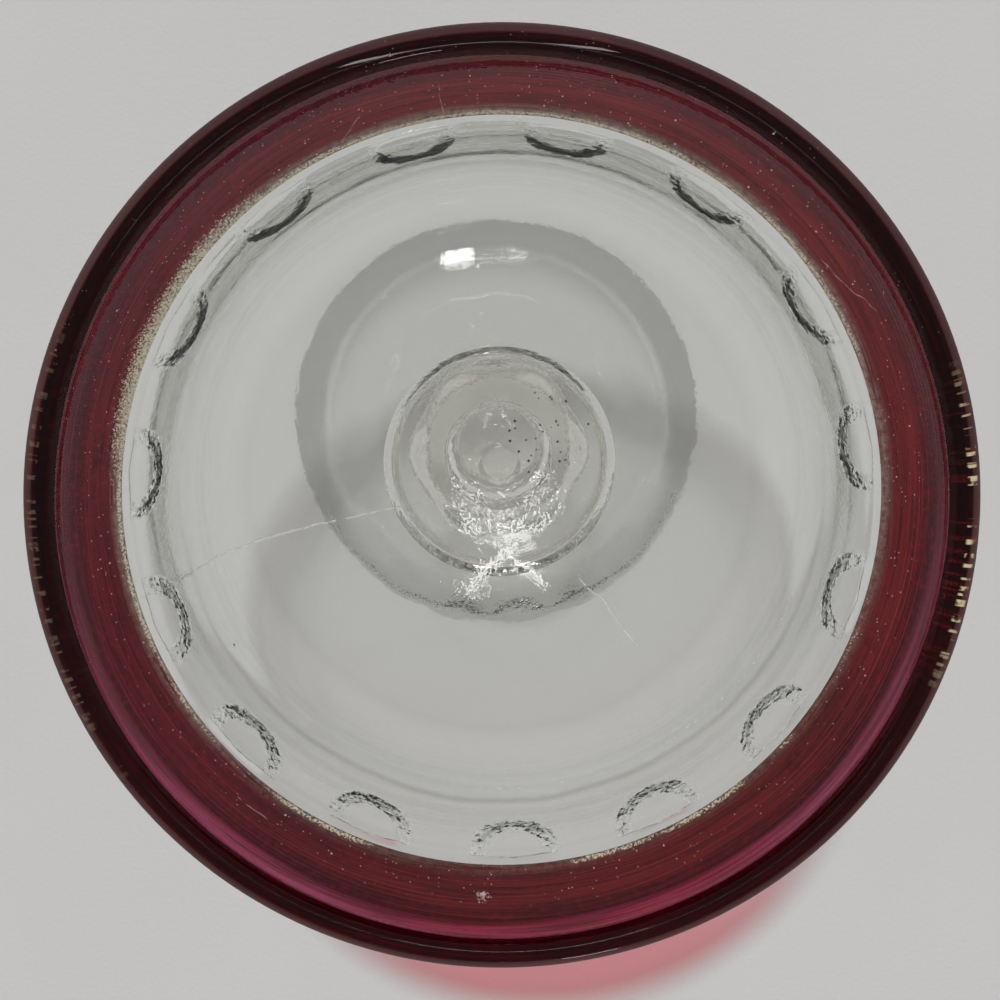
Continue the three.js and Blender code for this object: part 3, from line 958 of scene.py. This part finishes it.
def ruby_tint(graph):
    """The colour of the ruby: zones by height and side, with painted light and shade among them, painted
    shade where the prints show through, clouds and grain.
    """
    wave = graph.math("MULTIPLY", graph.noise(1.2, graph.heading, 2.0), ZONE_WANDER)
    height = graph.math("ADD", graph.z, graph.math("SUBTRACT", wave, ZONE_WANDER / 2))
    share = graph.add("ShaderNodeMapRange", sockets=(height, *BAND_HEIGHTS)).outputs[0]
    # The ruby's colour by height, with painted shade that darkens the left side of the band.
    tint = graph.tinted(graph.ramp(share, RUBY_STOPS), graph.towards(*LEFT_SIDE), *LEFT_SHADE_TINT)
    # Painted light: the far side of the lip is paler.
    far = graph.times(graph.towards(*FAR_LIP_SIDE), graph.fade(height, *FAR_LIP_FADE))
    tint = graph.tinted(tint, far, *FAR_LIP_LIGHT_TINT)
    # Painted shade: the lip's outer edge is darker, where it is seen on edge.
    tint = graph.tinted(tint, graph.fade(graph.radius, *EDGE_FADE), *OUTER_EDGE_SHADE_TINT)
    # Painted light: a brighter magenta zone on the near side, where light comes through the band.
    lit = graph.times(graph.towards(*MAGENTA_SIDE), graph.window(height, *MAGENTA_HEIGHTS, 0.5))
    tint = graph.tinted(tint, lit, *MAGENTA_LIGHT_TINT)
    level = graph.math("ADD", height, graph.math("MULTIPLY", wave, -LINE_CALM))
    tint = graph.tinted(tint, graph.window(level, *DARK_LINE, 0.08), *DARK_LINE_TINT)
    # Painted shade: dark patches in line with the prints, where they show through the band.
    turn = graph.math("ARCTAN2", graph.y, graph.x)
    ghost = graph.math("SINE", graph.lifted(turn, THUMBPRINTS, GHOST_TURN))
    ghost = graph.times(
        graph.fade(ghost, 0.55, 0.95), graph.window(graph.z, *GHOST_HEIGHTS, 0.4),
        graph.fade(graph.noise(2.2, graph.heading), 0.42, 0.6),
        graph.fade(graph.noise(0.9, detail=2.0), 0.35, 0.6),
    )
    tint = graph.tinted(tint, ghost, *GHOST_SHADE_TINT)
    cloud = graph.fade(graph.streaks(4.0, 1.4, 5.0), 0.38, 0.68)
    tint = graph.tinted(tint, cloud, *CLOUD_TINT)
    lines = graph.fade(graph.streaks(1.2, 3.4, 3.0), 0.52, 0.66)
    tint = graph.tinted(tint, lines, *LINES_TINT)
    grain = graph.fade(graph.noise(0.8, detail=4.0, roughness=0.7), 0.45, 0.75)
    return graph.tinted(tint, grain, *GRAIN_TINT)


def ruby_material():
    """Ruby stain on clear glass, waved below the lip, with its gilding and its wear."""
    graph = Graph("ruby_flash")
    tint = ruby_tint(graph)
    calm = graph.fade(graph.z, *CALM_FADE)
    waves = graph.math("SUBTRACT", graph.streaks(3.0, 0.8), 0.5)
    bent = graph.bump(graph.times(calm, waves), BAND_WAVES)
    ripple = graph.math("SUBTRACT", graph.noise(0.7, detail=2.0), 0.5)
    bent = graph.bump(graph.times(calm, ripple), BAND_RIPPLE, bent)
    through = graph.add("ShaderNodeBsdfRefraction", IOR=GLASS_IOR, Color=tint, Roughness=0.0, Normal=bent)
    mirror = graph.add("ShaderNodeBsdfGlossy", Color=(*RUBY_MIRROR, 1), Roughness=0.0, Normal=bent)
    fresnel = graph.add("ShaderNodeFresnel", IOR=GLASS_IOR, Normal=bent).outputs[0]
    surface = graph.mix(fresnel, through.outputs[0], mirror.outputs[0])
    cast = graph.blend(graph.towards(*PINK_SIDE), RUBY_CAST, PINK_CAST)
    surface = graph.for_lamps(surface, cast, RUBY_EDGE_SHADE, seen_on_edge(graph))
    return graph.finish(worn(graph, gilded(graph, surface)))


def gilded(graph, surface):
    """Worn gilding at the edge of the band, over a thin film and a fine groove line of painted shade."""
    film = graph.times(
        graph.fade(graph.z, *FILM_FADE), graph.lifted(graph.towards(*FILM_SIDE), *FILM_GAIN),
        graph.fade(graph.noise(0.9, detail=5.0, roughness=0.7), 0.2, 0.65),
        graph.fade(graph.streaks(5.0, 1.6, 4.0), 0.3, 0.5),
    )
    surface = graph.coated(surface, film, *FILM_COAT)
    far = graph.towards(*FAR_EDGE_SIDE)
    # Painted shade: a fine dark line along the band's edge on the far side.
    groove = graph.times(far, graph.window(graph.z, *GROOVE, 0.14))
    surface = graph.coated(surface, groove, *GROOVE_SHADE_COAT)
    broad = graph.times(graph.towards(*BROAD_GILT_SIDE), graph.fade(graph.z, *BROAD_GILT_FADE))
    narrow = graph.times(
        graph.fade(graph.noise(2.4, graph.heading), 0.40, 0.56), graph.window(graph.z, *NARROW_GILT, 0.35),
    )
    thread = graph.times(
        far, graph.window(graph.z, *GILT_THREAD, 0.15),
        graph.fade(graph.noise(1.6, graph.heading, 3.0), 0.25, 0.4),
    )
    gilt = graph.math("MAXIMUM", broad, graph.math("MAXIMUM", narrow, thread))
    crumbs = graph.noise(2.6, detail=5.0, roughness=0.75)
    gilt = graph.fade(graph.times(crumbs, graph.math("POWER", gilt, GILT_POWER)), 0.43, 0.53)
    return graph.coated(surface, gilt, *GILT_COAT)


def worn(graph, surface):
    """Chips above the gilding, a chalk smear, painted shade on the outer edge, dashes over the rim and
    scratches.
    """
    falling = graph.fade(graph.z, *CHIPS_FADE)
    chipped = graph.math("ADD", falling, graph.lifted(graph.towards(*CHIPPED_SIDE), *CHIPPED_GAIN))
    chips = graph.times(
        graph.math("MAXIMUM", graph.specks(*LARGE_CHIPS), graph.specks(*SMALL_CHIPS)),
        graph.fade(graph.times(graph.noise(0.25, detail=4.0), chipped), 0.34, 0.56),
    )
    surface = graph.coated(surface, chips, *CHIP_COAT)
    smear = graph.fade(graph.length(graph.vector("SUBTRACT", graph.place, CHALK_PLACE)), *CHALK_FADE)
    smear = graph.fade(graph.times(smear, graph.noise(1.3, detail=6.0, roughness=0.75)), 0.38, 0.46)
    surface = graph.coated(surface, smear, *CHALK_COAT)
    # Painted shade: a brown coat in streaks darkens the lip's outer edge, where it is seen on edge.
    uneven = graph.lifted(graph.streaks(3.0, 0.9), *OUTER_EDGE_SHADE_GAIN)
    surface = graph.coated(surface, graph.times(graph.fade(graph.radius, *OUTER_EDGE_SHADE_FADE), uneven), *OUTER_EDGE_SHADE_COAT)
    around = graph.vector("SCALE", graph.heading, scale=RIM_RADIUS / MM)
    left = graph.math("MULTIPLY", graph.towards(*LEFT_DASHES), LEFT_DASH_SHARE)
    dashes = graph.times(
        graph.fade(graph.noise(1.1, around, 1.0), 0.53, 0.60),
        graph.window(graph.radius, *DASH_RADII, 0.25),
        graph.math("MAXIMUM", graph.towards(*RIGHT_DASHES), left),
        graph.fade(graph.noise(0.7, detail=2.0), 0.36, 0.52),
    )
    surface = graph.coated(surface, dashes, *DASH_COAT)
    for start, end, width in BAND_SCRATCHES:
        surface = graph.coated(surface, graph.scratch(start, end, width), *BAND_SCRATCH_COAT)
    return surface


def floor_material():
    """A pale matt floor, a little uneven in tone."""
    graph = Graph("pale_floor")
    grain = graph.bump(graph.noise(0.9, detail=4.0), FLOOR_GRAIN)
    tone = graph.blend(graph.noise(0.02, detail=2.0), *FLOOR_TONES)
    return graph.finish(graph.dull(tone, FLOOR_ROUGHNESS, grain))


# The setting.


def make_floor():
    corners = [(x * FLOOR_REACH, y * FLOOR_REACH, 0) for x, y in ((-1, -1), (1, -1), (1, 1), (-1, 1))]
    mesh = bpy.data.meshes.new("floor")
    mesh.from_pydata(corners, [], [(0, 1, 2, 3)])
    mesh.materials.append(floor_material())
    floor = bpy.data.objects.new("floor", mesh)
    bpy.context.scene.collection.objects.link(floor)


def make_world():
    """A soft room: pale at the horizon, darker overhead, and dimmer as a lamp than as a sight."""
    world = bpy.data.worlds.new("room")
    bpy.context.scene.world = world
    world.use_nodes = True
    tree = world.node_tree
    background = tree.nodes["Background"]
    coordinates = tree.nodes.new("ShaderNodeTexCoord")
    axes = tree.nodes.new("ShaderNodeSeparateXYZ")
    ramp = tree.nodes.new("ShaderNodeValToRGB")
    tree.links.new(coordinates.outputs["Generated"], axes.inputs[0])
    tree.links.new(axes.outputs["Z"], ramp.inputs[0])
    tree.links.new(ramp.outputs[0], background.inputs["Color"])
    stops = ramp.color_ramp.elements
    stops[0].position = HORIZON_END
    stops[0].color = (*(WORLD_HORIZON,) * 3, 1)
    stops[1].position = 1.0
    stops[1].color = (*(WORLD_ZENITH,) * 3, 1)
    middle = stops.new(MIDDLE_PLACE)
    middle.color = (*(WORLD_MIDDLE,) * 3, 1)
    path = tree.nodes.new("ShaderNodeLightPath")
    strength = tree.nodes.new("ShaderNodeMapRange")
    strength.inputs["To Min"].default_value = WORLD_SEEN
    strength.inputs["To Max"].default_value = WORLD_LIGHT
    tree.links.new(path.outputs["Is Diffuse Ray"], strength.inputs["Value"])
    tree.links.new(strength.outputs[0], background.inputs["Strength"])


def make_sun():
    """Soft light from high behind, slanting enough to carry the ruby just past the near rim."""
    sun = bpy.data.lights.new("sun", "SUN")
    sun.energy = SUN_STRENGTH
    sun.angle = SUN_ANGLE
    holder = bpy.data.objects.new("sun", sun)
    way = Vector((
        math.sin(SUN_TURN) * math.cos(SUN_HEIGHT),
        -math.cos(SUN_TURN) * math.cos(SUN_HEIGHT),
        -math.sin(SUN_HEIGHT),
    ))
    holder.rotation_euler = way.to_track_quat("-Z", "Y").to_euler()
    holder.visible_glossy = False
    holder.visible_transmission = False
    bpy.context.scene.collection.objects.link(holder)


def make_lamp(name, place, target, width, height, power):
    lamp = bpy.data.lights.new(name, "AREA")
    lamp.shape = "RECTANGLE"
    lamp.size = width
    lamp.size_y = height
    lamp.energy = power
    holder = bpy.data.objects.new(name, lamp)
    holder.location = place
    holder.rotation_euler = (Vector(target) - Vector(place)).to_track_quat("-Z", "Y").to_euler()
    bpy.context.scene.collection.objects.link(holder)


def make_camera():
    """Looks down at the mouth of the bowl, set a little aside and rolled."""
    forward = Vector((0, -math.sin(VIEW_TILT), -math.cos(VIEW_TILT)))
    upward = Vector((0, math.cos(VIEW_TILT), -math.sin(VIEW_TILT)))
    sideways = forward.cross(upward)
    right = sideways * math.cos(VIEW_ROLL) + upward * math.sin(VIEW_ROLL)
    above = upward * math.cos(VIEW_ROLL) - sideways * math.sin(VIEW_ROLL)
    mouth = Vector((0, 0, LIP_TOP))
    place = mouth - forward * VIEW_DISTANCE + right * VIEW_ASIDE + above * VIEW_ABOVE
    axes = Matrix((right, above, -forward)).transposed().to_4x4()
    camera = bpy.data.cameras.new("camera")
    camera.sensor_width = SENSOR_WIDTH
    camera.lens = FOCAL_LENGTH * SENSOR_WIDTH
    camera.clip_start = CLIP_START
    holder = bpy.data.objects.new("camera", camera)
    holder.matrix_world = Matrix.Rotation(VIEW_TURN, 4, "Z") @ Matrix.Translation(place) @ axes
    bpy.context.scene.collection.objects.link(holder)
    bpy.context.scene.camera = holder


make_camera()
make_floor()
make_world()
make_sun()
for lamp in LAMPS:
    make_lamp(*lamp)

clear = clear_material("clear_glass", FINE_RIPPLE, CLEAR_TINT, CLEAR_SHADE, prints=True)
inside = inside_material()
stem_clear = clear_material("stem_glass", STEM_RIPPLE, STEM_TINT, CLEAR_SHADE)
foot_clear = clear_material("foot_glass", FOOT_RIPPLE, FOOT_TINT, FOOT_SHADE, FOOT_DARK_RING)
ruby = ruby_material()
flash_joint = joint_material("fused_flash", FLASH_JOINT)
stem_joint = joint_material("fused_stem", STEM_JOINT)
pieces = (
    (make_foot(), "foot", foot_clear, "clear_glass"),
    (make_collar(
        "lower_collar_glass", lower_collar_low, lower_collar_high, FOOT_NECK_RADIUS, STEM_BASE_RADIUS,
    ), "lower_collar", stem_clear, "clear_glass"),
    (make_stem(), "stem", stem_clear, "clear_glass"),
    (make_collar(
        "upper_collar_glass", upper_collar_low, upper_collar_high, STEM_NECK_RADIUS,
        upper_collar_high.x - SEAT_MARGIN,
    ), "upper_collar", stem_clear, "clear_glass"),
    (make_bowl(), "bowl", clear, "clear_glass"),
    (make_flash(), "ruby_flash", ruby, "ruby_flash"),
)
for piece, node, material, slot in pieces:
    piece.data.materials.append(material)
    piece.data.materials.append(flash_joint if node == "ruby_flash" else stem_joint)
    if node == "bowl":
        piece.data.materials.append(inside)
        piece.data.materials.append(flash_joint)
    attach(piece, "root")
    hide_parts(node)

scene = bpy.context.scene
scene.view_settings.view_transform = "Standard"
scene.cycles.max_bounces = BOUNCES
scene.cycles.transmission_bounces = BOUNCES
scene.cycles.transparent_max_bounces = BOUNCES
